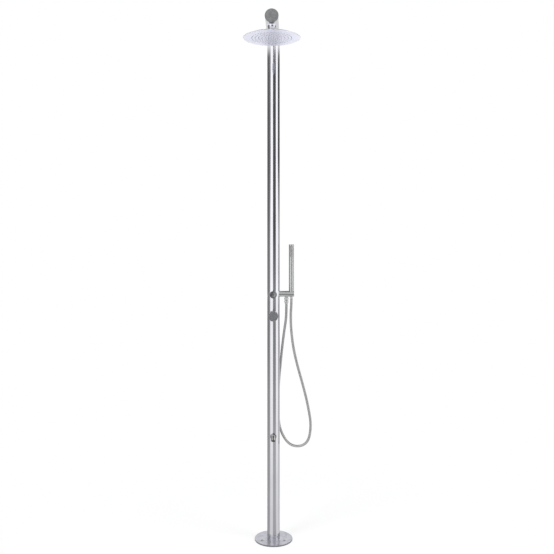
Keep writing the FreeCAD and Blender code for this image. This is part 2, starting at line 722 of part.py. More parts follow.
def make_diverter():
    height = dim.diverter_height
    half = dim.diverter_body_height / 2
    boss_r = dim.diverter_boss_dia / 2
    bore_r = dim.diverter_cartridge_dia / 2
    fit = dim.port_fit
    body = turned_upright("diverter_body", 0, 0, height, [
        (0, -half), (body_r, -half), (body_r, half), (0, half)])
    pad(body, circle_sketch(body, "XZ", [(0, 0, boss_r)]), diverter_boss_face)
    pocket(body, circle_sketch(body, "XZ", [(0, 0, bore_r)], lift=diverter_floor), reverse=True)
    depth = dim.pipe_socket
    floor = [(0, supply_y, socket_r), (0, foot_pipe_y, foot_pipe_r + fit)]
    pocket(body, circle_sketch(body, "XY", floor, lift=-(half - depth)))
    pocket(body, circle_sketch(body, "XY", [(0, 0, socket_r)], lift=half - depth), reverse=True)
    nipple_r = dim.bar_nipple_dia / 2
    pocket(body, circle_sketch(body, "YZ", [(0, 0, nipple_r + fit)], lift=body_r - 12), reverse=True)
    waterway = dim.bar_waterway / 2
    pocket(body, circle_sketch(body, "YZ", [(0, 0, waterway)]), reverse=True)

    spindle_r = dim.diverter_spindle_dia / 2
    shoulder = diverter_boss_face - 2
    nose = diverter_boss_face + 2
    pit = diverter_boss_face - 6
    neck_r = bore_r * 0.6
    turned_forward("diverter_cartridge", height, [
        (diverter_floor, 0), (diverter_floor, bore_r - fit), (shoulder, bore_r - fit), (shoulder, neck_r),
        (nose, neck_r), (nose, spindle_r + fit), (pit, spindle_r + fit), (pit, 0)])
    nut_front = diverter_boss_face + dim.diverter_nut_height
    nut_r = boss_r - dim.clamp_relief
    turned_forward("diverter_clamp_nut", height, [
        (shoulder, neck_r + fit), (shoulder, bore_r - fit), (diverter_boss_face, bore_r - fit),
        (diverter_boss_face, nut_r), (nut_front, nut_r), (nut_front, neck_r + fit)])

    sleeve_r = dim.diverter_sleeve_dia / 2
    lip = diverter_sleeve_face - dim.diverter_lip
    back = chord(post_r, sleeve_r) - SADDLE_DEPTH
    sleeve = turned_forward("diverter_sleeve", height, [
        (back, boss_r + fit), (back, sleeve_r), (diverter_sleeve_face, sleeve_r),
        (diverter_sleeve_face, neck_r + fit), (lip, neck_r + fit), (lip, boss_r + fit)])
    saddle(sleeve)

    square_end = diverter_knob_back + dim.diverter_square_length
    screw_r = dim.diverter_screw_dia / 2
    spindle = turned_forward("diverter_spindle", height, [
        (pit + fit * 4, 0), (pit + fit * 4, spindle_r), (diverter_knob_back, spindle_r),
        (diverter_knob_back, 0)])
    pad(spindle, outline_sketch(spindle, "XZ", square(diverter_square), lift=diverter_knob_back),
        square_end - diverter_knob_back)
    pocket(spindle, circle_sketch(spindle, "XZ", [(0, 0, screw_r)], lift=diverter_knob_back + 2),
           reverse=True)

    knob_r = dim.diverter_knob_dia / 2
    face = diverter_knob_back + dim.diverter_knob_length
    edge = dim.edge_round
    dish = face - dim.diverter_dish
    head_seat = dish - 3.5
    dish_r = knob_r * 0.72
    well_r = dim.diverter_cap_dia / 2
    hub_r = spindle_r + dim.diverter_hub_wall
    skirt = diverter_knob_back + dim.diverter_knob_recess
    skirt_r = knob_r - dim.diverter_knob_wall
    knob = turned_forward("diverter_knob", height, [
        (diverter_knob_back + edge, screw_r + fit * 2), (head_seat, screw_r + fit * 2), (head_seat, well_r),
        (dish, well_r), (dish, dish_r), (face, dish_r + 1.5), (face, knob_r - edge),
        Arc(face - edge, knob_r - edge), (face - edge, knob_r), (diverter_knob_back, knob_r),
        (diverter_knob_back, skirt_r), (skirt, skirt_r), (skirt, hub_r), (diverter_knob_back + edge, hub_r)])
    pocket(knob, outline_sketch(knob, "XZ", square(diverter_square + fit * 2), lift=square_end + fit))
    screw_face = head_seat + 2.4
    head_r = dim.diverter_screw_head / 2
    key_r = screw_r * 0.6
    key_floor = screw_face - 1.5
    screw_end = diverter_knob_back + 3
    turned_forward("diverter_screw", height, [
        (screw_end, 0), (screw_end, screw_r - fit), (head_seat, screw_r - fit), (head_seat, head_r),
        (screw_face, head_r), (screw_face, key_r), (key_floor, key_r), (key_floor, 0)])
    crown = dish + 0.4
    turned_forward("diverter_cap", height, [
        (screw_face, 0), (screw_face, well_r - fit), (dish, well_r - fit), (crown, well_r - 1), (crown, 0)])


def foot_nipple_r():
    return dim.foot_spout_dia / 2 - dim.foot_spout_wall - dim.port_fit


def make_foot_spout():
    height = dim.foot_height
    nipple_r = foot_nipple_r()
    socket = foot_pipe_r + dim.port_fit
    rosette_face = post_r + dim.foot_rosette_thick
    nipple_back = post_r - dim.foot_nipple_depth
    nipple_front = rosette_face + dim.foot_spout_run - 2
    waterway = foot_pipe_r - dim.pipe_wall
    turned_forward("foot_nipple", height, [
        (nipple_back, socket), (nipple_back, nipple_r), (nipple_front, nipple_r), (nipple_front, waterway),
        (foot_pipe_stop, waterway), (foot_pipe_stop, socket)])
    rosette_r = dim.foot_rosette_dia / 2
    back = chord(post_r, rosette_r) - SADDLE_DEPTH
    edge = dim.edge_round
    rosette = turned_forward("foot_rosette", height, [
        (back, nipple_r + dim.port_fit), (back, rosette_r), (rosette_face - edge, rosette_r),
        Arc(rosette_face - edge, rosette_r - edge), (rosette_face, rosette_r - edge),
        (rosette_face, nipple_r + dim.port_fit)])
    saddle(rosette)

    bend = dim.foot_spout_bend
    angle = dim.foot_spout_angle
    bend_start = rosette_face + dim.foot_spout_run
    bend_y = bend_start + bend * sine(angle)
    bend_z = -(bend - bend * cosine(angle))
    nose_y = bend_y + dim.foot_spout_nose * cosine(angle)
    nose_z = bend_z - dim.foot_spout_nose * sine(angle)
    outer = dim.foot_spout_dia / 2
    inner = outer - dim.foot_spout_wall
    bent_tube("foot_spout", height, outer, inner, [
        (-rosette_face, 0), (-bend_start, 0), Arc(-bend_start, -bend), (-bend_y, bend_z),
        (-nose_y, nose_z)], "XZ")
    insert_r = inner - dim.port_fit
    lip = dim.aerator_inset
    screen = lip + 2
    top = lip + dim.aerator_length
    aerator = turned_upright("foot_aerator", 0, -nose_y, height + nose_z, [
        (0, screen), (0, top), (insert_r - 1, top), (insert_r, top - 1), (insert_r, lip),
        (insert_r - 1.5, lip), (insert_r - 2.5, screen)])
    aerator.Placement.Rotation = Rotation(Vector(1, 0, 0), angle.value - 90)


def make_bar():
    bar = new_body("shower_bar", 0, 0, dim.diverter_height)
    edge = dim.edge_round * 1.5
    reach = dim.bar_reach
    start = chord(post_r, bar_r) - SADDLE_DEPTH
    turn(bar, "X", [
        (start, 0), (start, bar_r), (reach - edge, bar_r), Arc(reach - edge, bar_r - edge),
        (reach, bar_r - edge), (reach, 0)])
    saddle(bar)
    nipple_start = body_r - dim.bar_nipple_grip
    nipple_r = dim.bar_nipple_dia / 2
    nipple_end = post_r + SADDLE_DEPTH + OVERCUT
    pad(bar, circle_sketch(bar, "YZ", [(0, 0, nipple_r)], lift=nipple_start), nipple_end - nipple_start)
    waterway = dim.bar_waterway / 2
    pocket(bar, circle_sketch(bar, "YZ", [(0, 0, waterway)], lift=nipple_start - OVERCUT),
           length=dim.union_offset + waterway - nipple_start, reverse=True)
    pocket(bar, circle_sketch(bar, "XY", [(dim.union_offset, 0, union_neck_r() + dim.port_fit)]))
    top_r = dim.holder_top_dia / 2
    bottom_r = dim.holder_bottom_dia / 2
    lean = math.degrees(math.atan2(float(top_r - bottom_r), float(dim.bar_dia)))
    cone = circle_sketch(bar, "XY", [(dim.holder_offset, 0, top_r)], lift=bar_r)
    pocket(bar, cone, length=dim.bar_dia, taper=-lean)
    half = dim.holder_slot / 2
    far = reach + OVERCUT
    pocket(bar, outline_sketch(bar, "XY", [
        (dim.holder_offset, -half), (far, -half), (far, half), (dim.holder_offset, half)]), both=True)


def union_neck_r():
    return dim.hose_dia / 2 + 0.4


def make_union():
    """Ball-shaped outlet under the bar and the hose's swivel nut below it."""
    height = dim.diverter_height
    x = dim.union_offset
    neck = union_neck_r()
    ball_r = dim.union_ball_dia / 2
    centre = -dim.union_ball_drop
    thread_r = dim.union_thread_dia / 2
    water_r = dim.hose_bore / 2
    top = -bar_r + dim.union_grip
    nut_top = -dim.union_nut_top
    thread_end = nut_top - dim.union_thread_length
    turned_upright("union_collar", x, 0, height, [
        (water_r, top), (neck, top), (neck, centre + chord(ball_r, neck)), Arc(0, centre),
        (thread_r, centre - chord(ball_r, thread_r)), (thread_r, thread_end), (water_r, thread_end)])
    washer_end = thread_end - dim.union_washer_thick
    turned_upright("union_washer", x, 0, height, [
        (water_r, washer_end), (thread_r - 0.2, washer_end), (thread_r - 0.2, thread_end),
        (water_r, thread_end)])
    nut_r = dim.union_nut_dia / 2
    nut_end = nut_top - dim.union_nut_length
    fit = dim.port_fit
    collar_r = dim.hose_dia / 2 + dim.hose_collar_wall
    turned_upright("hose_swivel_nut", x, 0, height, [
        (water_r, nut_end), (collar_r, nut_end), (nut_r, nut_top - dim.union_nut_chamfer), (nut_r, nut_top),
        (thread_r + fit, nut_top), (thread_r + fit, washer_end), (water_r, washer_end)])
    return height + nut_end


def make_handset():
    height = dim.diverter_height
    x = dim.holder_offset
    outer = dim.handset_dia / 2
    inner = outer - dim.handset_wall
    water_r = dim.hose_bore / 2
    gap = dim.holder_gap
    top_r = dim.holder_top_dia / 2 - gap
    bottom_r = dim.holder_bottom_dia / 2 - gap
    nut_end = -(bar_r + dim.cone_nut_tail)
    thread_r = top_r - dim.cone_nut_wall
    thread_end = bar_r - dim.cone_nut_thread
    washer_end = thread_end - dim.cone_washer_thick
    fit = dim.port_fit
    turned_upright("hose_cone_nut", x, 0, height, [
        (water_r, nut_end), (bottom_r - 0.5, nut_end), (bottom_r, -bar_r), (top_r, bar_r),
        (thread_r + fit, bar_r), (thread_r + fit, washer_end), (water_r, washer_end)])
    turned_upright("cone_nut_washer", x, 0, height, [
        (water_r, washer_end), (thread_r - 0.2, washer_end), (thread_r - 0.2, thread_end),
        (water_r, thread_end)])
    low = bar_r + gap
    cap_seat = bar_r + dim.handset_length - dim.handset_cap_thick
    bore_r = water_r + 1
    tube = turned_upright("handset_tube", x, 0, height, [
        (bore_r, thread_end), (thread_r, thread_end), (thread_r, low), (outer, low), (outer, cap_seat),
        (inner, cap_seat), (inner, low + 4), (bore_r, low + 4)])
    spray_top = cap_seat + dim.handset_cap_thick - dim.spray_margin
    window = rounded_slot(dim.spray_width, spray_top - dim.spray_length, spray_top)
    pocket(tube, outline_sketch(tube, "XZ", window), reverse=True)

    edge = dim.edge_round
    turned_upright("handset_end_cap", x, 0, height, [
        (0, cap_seat), (inner - 1.5, cap_seat), (inner - 1.5, cap_seat - 3), (inner - fit, cap_seat - 3),
        (inner - fit, cap_seat), (outer, cap_seat), (outer, cap_seat + dim.handset_cap_thick - edge),
        Arc(outer - edge, cap_seat + dim.handset_cap_thick - edge),
        (outer - edge, cap_seat + dim.handset_cap_thick), (0, cap_seat + dim.handset_cap_thick)])

    back = chord(inner, dim.spray_width / 2) + fit * 4
    spray_low = spray_top - dim.spray_length
    first_row = spray_low + dim.spray_row_margin
    rows_length = dim.spray_length - dim.spray_row_margin * 2
    row = [(dim.spray_pitch * place, first_row) for place in (-1, 0, 1)]
    hole_r = dim.spray_hole / 2
    plate = new_body("handset_spray_plate", x, 0, height)
    face = rounded_slot(dim.spray_width - fit * 2, spray_low + fit, spray_top - fit)
    pad(plate, outline_sketch(plate, "XZ", face, lift=back), dim.spray_plate_thick)
    holes = circle_sketch(plate, "XZ", [(across, up, hole_r) for across, up in row], lift=back)
    cut = pocket(plate, holes, reverse=True)
    upright_copies(plate, cut, holes, rows_length, dim.spray_rows)

    strip = new_body("handset_nozzle_strip", x, 0, height)
    inset = dim.spray_strip_inset
    sole = rounded_slot(dim.spray_width - inset * 2, spray_low + inset, spray_top - inset)
    pad(strip, outline_sketch(strip, "XZ", sole, lift=back - dim.spray_strip_thick), dim.spray_strip_thick)
    tip_r = dim.spray_tip / 2
    tips = circle_sketch(strip, "XZ", [(across, up, tip_r) for across, up in row], lift=back)
    pips = pad(strip, tips, dim.spray_plate_thick + dim.spray_proud)
    upright_copies(strip, pips, tips, rows_length, dim.spray_rows)
    return height + nut_end


def rounded_slot(width, low, high):
    """Upright slot with full round ends, each end in two quarter turns."""
    half = width / 2
    return [(-half, low + half), Arc(0, low + half), (0, low), Arc(0, low + half), (half, low + half),
            (half, high - half), Arc(0, high - half), (0, high), Arc(0, high - half),
            (-half, high - half)]


def make_ball_joint():
    y = -head_y
    ball_r = dim.ball_dia / 2
    liner_in = ball_r + dim.ball_play
    liner_out = liner_in + dim.liner_thick
    seat_r = liner_out + dim.ball_play * 2
    neck_r = dim.swivel_neck_dia / 2
    water_r = dim.hose_bore / 2
    arm_bottom = dim.ball_drop - post_r
    nut_r = dim.swivel_nut_dia / 2
    thread_r = nut_r - dim.swivel_nut_wall
    opening_r = dim.swivel_opening / 2
    split = as_size(-0.8)
    collar_r = neck_r + 1.6
    shoulder = arm_bottom - 1.5
    neck_top = arm_bottom + 17
    turned_upright("swivel_socket", 0, y, ball_z, [
        (water_r + 1, neck_top), (neck_r, neck_top), (neck_r, arm_bottom), (collar_r, arm_bottom),
        (collar_r, shoulder), (thread_r - dim.port_fit, shoulder), (thread_r - dim.port_fit, split),
        (chord(seat_r, split), split), Arc(0, 0), (water_r + 1, chord(seat_r, water_r + 1))])
    foot = -(ball_r - 1)
    foot_r = dim.swivel_nut_foot / 2
    nut_top = shoulder + 0.5
    turned_upright("swivel_nut", 0, y, ball_z, [
        (thread_r, split), (chord(seat_r, split), split), Arc(0, 0),
        (opening_r, -chord(seat_r, opening_r)), (opening_r, foot), (foot_r, foot), (nut_r, 2),
        (nut_r, nut_top - 1), (nut_r - 1, nut_top), (thread_r, nut_top)])
    high_in, high_out = liner_in * 0.7, liner_out * 0.7
    low_in, low_out = liner_in * 0.59, liner_out * 0.59
    turned_upright("ball_liner", 0, y, ball_z, [
        (chord(liner_in, low_in), -low_in), (chord(liner_out, low_out), -low_out), Arc(0, 0),
        (chord(liner_out, high_out), high_out), (chord(liner_in, high_in), high_in), Arc(0, 0)])
    stem_r = dim.stem_dia / 2
    collar = -dim.stem_length
    collar_foot = collar - dim.stem_collar_thick
    thread_foot = collar_foot - dim.stem_thread_length
    stem_collar_r = dim.stem_collar_dia / 2
    stem_thread_r = stem_collar_r - 1.8
    turned_upright("ball_stem", 0, y, ball_z, [
        (water_r, thread_foot), (stem_thread_r, thread_foot), (stem_thread_r, collar_foot),
        (stem_collar_r, collar_foot), (stem_collar_r, collar), (stem_r, collar),
        (stem_r, -chord(ball_r, stem_r)), Arc(0, 0), (water_r, chord(ball_r, water_r))])
    return ball_z + collar_foot, stem_thread_r


def nozzle_ring_pattern(body, make_nozzle):
    """Centre nozzle and rings of 6, 12, 18 and so on, each ring a polar pattern of one nozzle."""
    for ring in range(int(float(dim.nozzle_rings)) + 1):
        feature = make_nozzle(dim.nozzle_pitch * ring)
        if ring:
            polar_copies(body, [feature], ring * 6)


def make_rain_head(boss_top, stem_thread_r):
    y = -head_y
    plate_r = dim.head_dia / 2
    thick = dim.head_plate
    seal_top = thick + dim.gasket_thick
    shoulder = seal_top + dim.chamber_depth
    crown = shoulder + dim.chamber_crown
    top = crown + dim.boss_rise
    low = boss_top - top
    edge = thick / 2
    plate = turned_upright("head_face_plate", 0, y, low, [
        (0, 0), (plate_r - edge, 0), Arc(plate_r - edge, edge), (plate_r, edge),
        Arc(plate_r - edge, edge), (plate_r - edge, thick), (0, thick)])
    hole_r = dim.nozzle_hole / 2

    def nozzle_hole(x):
        return pocket(plate, circle_sketch(plate, "XY", [(x, 0, hole_r)]), both=True)

    nozzle_ring_pattern(plate, nozzle_hole)

    flange_r = plate_r - dim.chamber_margin
    seal_in = flange_r - dim.gasket_width
    turned_upright("head_gasket", 0, y, low, [
        (seal_in, thick), (flange_r, thick), (flange_r, seal_top), (seal_in, seal_top)])
    mat_r = seal_in - 1
    mat = turned_upright("nozzle_mat", 0, y, low, [
        (0, thick), (mat_r, thick), (mat_r, thick + dim.mat_thick), (0, thick + dim.mat_thick)])
    drop = thick + dim.nozzle_proud

    def nozzle_pip(x):
        cone = mat.newObject("PartDesign::AdditiveCone", "nozzle_pip")
        bind(cone, "Radius1", dim.nozzle_tip / 2)
        bind(cone, "Radius2", hole_r - dim.port_fit * 2)
        bind(cone, "Height", drop)
        cone.AttachmentSupport = (origin_part(mat, "XY_Plane"), [""])
        cone.MapMode = "FlatFace"
        bind(cone, "AttachmentOffset.Base.x", x)
        bind(cone, "AttachmentOffset.Base.z", -dim.nozzle_proud)
        return cone

    nozzle_ring_pattern(mat, nozzle_pip)

    wall = dim.chamber_wall
    boss_r = stem_thread_r + 2.8
    bend = as_size(4)
    side = seal_in + 1.5
    turned_upright("head_chamber", 0, y, low, [
        (side - wall, seal_top), (flange_r, seal_top), (flange_r, seal_top + wall),
        (side, seal_top + wall), (side, shoulder - bend), Arc(side - bend, shoulder - bend),
        (side - bend, shoulder), (boss_r, crown), (boss_r, crown - wall), (side - bend, shoulder - wall),
        Arc(side - bend, shoulder - bend), (side - wall, shoulder - bend)])
    foot = crown - wall - 2
    thread_r = stem_thread_r + dim.port_fit
    collar_r = boss_r + 2
    seat = top - dim.stem_thread_length - 1
    water_r = dim.hose_bore / 2
    turned_upright("head_boss", 0, y, low, [
        (water_r, foot), (boss_r - dim.port_fit, foot), (boss_r - dim.port_fit, crown), (collar_r, crown),
        (collar_r, top - 1), (collar_r - 1, top), (thread_r, top), (thread_r, seat), (water_r, seat)])
    turned_upright("stem_washer", 0, y, low, [
        (water_r, seat), (stem_thread_r - 0.2, seat), (stem_thread_r - 0.2, seat + 1), (water_r, seat + 1)])


def hose_bends(points):
    """Lines joined by tangent arcs, each arc as large as its two runs allow; gives edges and radii."""
    radii, edges = [], []
    here = points[0]
    for before, corner, after in zip(points, points[1:], points[2:]):
        back = (before - corner).normalize()
        ahead = (after - corner).normalize()
        half_turn = (math.pi - back.getAngle(ahead)) / 2
        reach = RUN_SHARE * min((before - corner).Length, (after - corner).Length)
        radius = reach / math.tan(half_turn)
        start = corner + back * reach
        finish = corner + ahead * reach
        centre = corner + (back + ahead).normalize() * (radius / math.cos(half_turn))
        middle = centre + (corner - centre).normalize() * radius
        edges.append(Part.LineSegment(here, start).toShape())
        edges.append(Part.Arc(start, middle, finish).toShape())
        radii.append(radius)
        here = finish
    edges.append(Part.LineSegment(here, points[-1]).toShape())
    return edges, radii


def swept_solid(spine, start, heading, radius):
    circle = Part.Wire(Part.makeCircle(radius, start, heading))
    return spine.makePipeShell([circle], True, False)


def make_hose(union_z, handset_z):
    start = Vector(float(dim.union_offset), 0, float(union_z))
    finish = Vector(float(dim.holder_offset), 0, float(handset_z))
    points = [start] + [Vector(x, y, start.z - drop) for x, y, drop in HOSE_ROUTE] + [finish]
    edges, radii = hose_bends(points)
    spine = Part.Wire(edges)
    heading = points[1] - points[0]
    outer = swept_solid(spine, start, heading, float(dim.hose_dia) / 2)
    bore = swept_solid(spine, start, heading, float(dim.hose_bore) / 2)
    hose = doc.addObject("Part::Feature", "shower_hose")
    hose.Label = "shower_hose"
    hose.Shape = outer.cut(bore)
    nodes["shower_hose"] = hose
    area = math.pi * (float(dim.hose_dia) ** 2 - float(dim.hose_bore) ** 2) / 4
    print("hose bend radii, mm:", [round(radius) for radius in radii])
    print("hose length, mm:", round(spine.Length, 1))
    print("hose volume over section times length:", round(hose.Shape.Volume / (area * spine.Length), 4))


def check_and_export():
    """Stop on any failed object, invalid shape or cut that removes nothing, then write the nodes."""
    doc.recompute()
    for thing in doc.Objects:
        if "Invalid" in thing.State or "Error" in thing.State:
            raise RuntimeError(f"{thing.Name} failed: {thing.State}")
        if thing.TypeId == "PartDesign::Pocket":
            before = thing.BaseFeature.Shape.Volume
            if before - thing.Shape.Volume < 1e-3:
                raise RuntimeError(f"{thing.Name} cuts nothing")
    os.makedirs("parts", exist_ok=True)
    for label, thing in nodes.items():
        shape = thing.Shape
        if shape.isNull() or not shape.isValid():
            raise RuntimeError(f"{label} has no valid shape")
        if len(shape.Solids) != 1:
            raise RuntimeError(f"{label} has {len(shape.Solids)} solids")
    for label, thing in nodes.items():
        thing.Shape.exportStep(f"parts/{label}.step")
    print(len(nodes), "nodes written")


make_base_plate()
make_post_tube()
make_arm()
make_pipes(make_head_inlet())
make_mixer()
make_diverter()
make_foot_spout()
make_bar()
hose_start_z = make_union()
hose_end_z = make_handset()
make_rain_head(*make_ball_joint())
make_hose(hose_start_z, hose_end_z)
check_and_export()
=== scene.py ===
import json
import math

import bmesh
import bpy
import numpy as np
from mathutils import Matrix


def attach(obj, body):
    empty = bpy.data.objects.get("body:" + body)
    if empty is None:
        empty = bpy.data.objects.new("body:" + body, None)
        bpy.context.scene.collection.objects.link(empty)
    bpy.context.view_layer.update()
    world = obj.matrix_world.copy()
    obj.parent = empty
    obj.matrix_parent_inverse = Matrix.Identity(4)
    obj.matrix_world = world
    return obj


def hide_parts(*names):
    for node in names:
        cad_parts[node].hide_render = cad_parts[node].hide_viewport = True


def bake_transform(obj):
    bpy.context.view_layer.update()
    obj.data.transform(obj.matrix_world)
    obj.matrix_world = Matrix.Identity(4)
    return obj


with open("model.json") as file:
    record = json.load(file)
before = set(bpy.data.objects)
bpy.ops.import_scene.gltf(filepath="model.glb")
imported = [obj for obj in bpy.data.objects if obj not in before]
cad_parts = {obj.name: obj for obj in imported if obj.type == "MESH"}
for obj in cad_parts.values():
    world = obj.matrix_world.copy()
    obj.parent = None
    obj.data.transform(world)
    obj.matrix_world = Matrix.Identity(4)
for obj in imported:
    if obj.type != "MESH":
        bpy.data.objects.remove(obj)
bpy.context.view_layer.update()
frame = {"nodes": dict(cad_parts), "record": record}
nodes = frame["nodes"]
bodyOf = {node: body for body, members in frame["record"]["behaviour"]["bodies"].items() for node in members}
print("frame loaded:", len(nodes), "nodes")

mm = 0.001

# the camera looks level at the post, a little from its right, so that the arm points a little left
camera = {
    "distance": 3.4,  # metres in front of the post's axis
    "side": 0.0165,
    "height": 1.448,
    "swing": 1.1,  # degrees round the post
    "focalPixels": 710.0,
    "imagePixels": 554.0,
    "horizonRow": 236.6,
    "sensorWidth": 36.0,  # mm
    "farthestSeen": 60.0,
}


def makeCamera():
    # the lens and the upward shift come from pixels: focal length, image width and the horizon's row
    data = bpy.data.cameras.new("camera")
    data.sensor_width = camera["sensorWidth"]
    data.lens = camera["focalPixels"] / camera["imagePixels"] * data.sensor_width
    data.shift_y = (camera["horizonRow"] - camera["imagePixels"] / 2) / camera["imagePixels"]
    data.clip_end = camera["farthestSeen"]
    made = bpy.data.objects.new("camera", data)
    bpy.context.scene.collection.objects.link(made)
    swing = math.radians(camera["swing"])
    x, y = camera["side"], -camera["distance"]
    made.location = (x * math.cos(swing) - y * math.sin(swing), x * math.sin(swing) + y * math.cos(swing),
                     camera["height"])
    made.rotation_euler = (math.radians(90), 0, swing)
    bpy.context.scene.camera = made


makeCamera()
print("camera set")


class Graph:
    # a material's or a group's nodes, added one after another and joined by their inputs
    def __init__(self, tree):
        self.tree = tree

    def add(self, kind, inputs=None, **settings):
        node = self.tree.nodes.new(kind)
        for name, value in settings.items():
            setattr(node, name, value)
        for name, value in (inputs or {}).items():
            if isinstance(value, bpy.types.NodeSocket):
                self.tree.links.new(value, node.inputs[name])
            else:
                node.inputs[name].default_value = value
        return node

    def place(self):
        return self.add("ShaderNodeTexCoord").outputs["Object"]

    def reckon(self, operation, first, second):
        return self.add("ShaderNodeMath", {0: first, 1: second}, operation=operation).outputs[0]

    def scaled(self, colour, amount):
        return self.add("ShaderNodeVectorMath", {0: colour, "Scale": amount}, operation="SCALE").outputs[0]

    def noise(self, place, scale, detail, roughness=0.5):
        inputs = {"Vector": place, "Scale": scale, "Detail": detail, "Roughness": roughness}
        return self.add("ShaderNodeTexNoise", inputs).outputs["Fac"]

    def remap(self, value, span, target=(0.0, 1.0), **settings):
        # the value's span becomes the target's, and stays inside it
        inputs = {"Value": value, "From Min": span[0], "From Max": span[1],
                  "To Min": target[0], "To Max": target[1]}
        return self.add("ShaderNodeMapRange", inputs, **settings).outputs["Result"]


def newMaterial(name):
    material = bpy.data.materials.new(name)
    material.use_nodes = True
    material.node_tree.nodes.clear()
    return material, Graph(material.node_tree)


def newGroup(name, inputs, outputs):
    tree = bpy.data.node_groups.new(name, "ShaderNodeTree")
    for label, kind, value in inputs:
        socket = tree.interface.new_socket(label, in_out="INPUT", socket_type=kind)
        socket.default_value = value
    for label, kind in outputs:
        tree.interface.new_socket(label, in_out="OUTPUT", socket_type=kind)
    return tree, Graph(tree)


polish = {
    "lineDetail": 4.0,
    "lineRoughness": 0.6,
    "lineHeight": 0.02 * mm,
    "lineShare": 0.03,  # of the lines in the roughness
    "smearScale": 14.0,
    "smearDetail": 5.0,
    "smearRoughness": 0.55,
    "smearSpan": (0.4, 0.75),
    "cloudDetail": 2.0,
    "cloudSpan": (0.3, 0.7),
    "brightest": 1.03,
}


def makePolishGroup():
    # polished metal: long faint polishing lines for the height, soft smears for the roughness and a
    # slow drift of the colour; the lines follow the direction that the stretch squeezes least
    tree, graph = newGroup("polish", [
        ("Colour", "NodeSocketColor", (0.7, 0.7, 0.73, 1)),
        ("Stretch", "NodeSocketVector", (600, 600, 6)),
        ("Roughness", "NodeSocketFloat", 0.07),
        ("Smear", "NodeSocketFloat", 0.05),
        ("Line Depth", "NodeSocketFloat", 0.2),
        ("Cloud Scale", "NodeSocketFloat", 5.0),
        ("Cloud Depth", "NodeSocketFloat", 0.07),
    ], [("Colour", "NodeSocketColor"), ("Roughness", "NodeSocketFloat"), ("Normal", "NodeSocketVector")])
    given = graph.add("NodeGroupInput").outputs
    place = graph.place()
    stretched = graph.add("ShaderNodeVectorMath", {0: place, 1: given["Stretch"]},
                          operation="MULTIPLY").outputs[0]
    lines = graph.noise(stretched, 1.0, polish["lineDetail"], polish["lineRoughness"])
    smears = graph.noise(place, polish["smearScale"], polish["smearDetail"], polish["smearRoughness"])
    extra = graph.reckon("MULTIPLY", graph.remap(smears, polish["smearSpan"]), given["Smear"])
    fine = graph.reckon("MULTIPLY", lines, polish["lineShare"])
    rough = graph.reckon("ADD", graph.reckon("ADD", given["Roughness"], extra), fine)
    clouds = graph.noise(place, given["Cloud Scale"], polish["cloudDetail"])
    darkest = graph.reckon("SUBTRACT", 1.0, given["Cloud Depth"])
    tone = graph.remap(clouds, polish["cloudSpan"], (darkest, polish["brightest"]))
    bump = graph.add("ShaderNodeBump", {"Height": lines, "Distance": polish["lineHeight"],
                                        "Strength": given["Line Depth"]})
    graph.add("NodeGroupOutput", {"Colour": graph.scaled(given["Colour"], tone), "Roughness": rough,
                                  "Normal": bump.outputs["Normal"]})
    return tree


drops = {
    "scale": 160.0,
    "spotSpan": (0.12, 0.22),
    "thinningScale": 9.0,
    "thinningDetail": 2.0,
    "thinningSpan": (0.55, 0.7),
}


def makeDropsGroup():
    # dried water: small round marks where the distance to scattered points is short, thinned out by noise
    tree, graph = newGroup("driedDrops", [
        ("Scale", "NodeSocketFloat", drops["scale"]),
        ("Amount", "NodeSocketFloat", 0.5),
    ], [("Mask", "NodeSocketFloat")])
    given = graph.add("NodeGroupInput").outputs
    place = graph.place()
    cells = graph.add("ShaderNodeTexVoronoi", {"Vector": place, "Scale": given["Scale"]}).outputs["Distance"]
    spots = graph.remap(cells, drops["spotSpan"], (1.0, 0.0))
    where = graph.noise(place, drops["thinningScale"], drops["thinningDetail"])
    some = graph.reckon("MULTIPLY", spots, graph.remap(where, drops["thinningSpan"]))
    graph.add("NodeGroupOutput", {"Mask": graph.reckon("MULTIPLY", some, given["Amount"])})
    return tree


grain = {
    "detail": 3.0,
    "roughnessShare": 0.12,
    "height": 0.05 * mm,
    "toneScale": 60.0,
    "toneDetail": 2.0,
    "toneSpan": (0.3, 0.7),
    "tones": (0.88, 1.08),
}


def makeGrainGroup():
    # moulded or cast surface: fine even grain for the height and a little roughness that goes with it
    tree, graph = newGroup("grain", [
        ("Scale", "NodeSocketFloat", 900.0),
        ("Roughness", "NodeSocketFloat", 0.4),
        ("Depth", "NodeSocketFloat", 0.3),
    ], [("Roughness", "NodeSocketFloat"), ("Normal", "NodeSocketVector")])
    given = graph.add("NodeGroupInput").outputs
    grit = graph.noise(graph.place(), given["Scale"], grain["detail"])
    rough = graph.reckon("ADD", given["Roughness"], graph.reckon("MULTIPLY", grit, grain["roughnessShare"]))
    bump = graph.add("ShaderNodeBump", {"Height": grit, "Distance": grain["height"],
                                        "Strength": given["Depth"]})
    graph.add("NodeGroupOutput", {"Roughness": rough, "Normal": bump.outputs["Normal"]})
    return tree


polishGroup = makePolishGroup()
dropsGroup = makeDropsGroup()
grainGroup = makeGrainGroup()


def paintedRimReflection(graph, colour, radius, level, inside=(0.8 * mm, 0.1 * mm)):
    # painted dark reflection on the cut edge of a round plate: just inside its radius the colour is scaled
    # down to the level, in place of the dark floor that the polished rim reflects
    flat = graph.add("ShaderNodeVectorMath", {0: graph.place(), 1: (1, 1, 0)},
                     operation="MULTIPLY").outputs[0]
    out = graph.add("ShaderNodeVectorMath", {0: flat}, operation="LENGTH").outputs["Value"]
    return graph.scaled(colour, graph.remap(out, (radius - inside[0], radius - inside[1]), (1.0, level)))


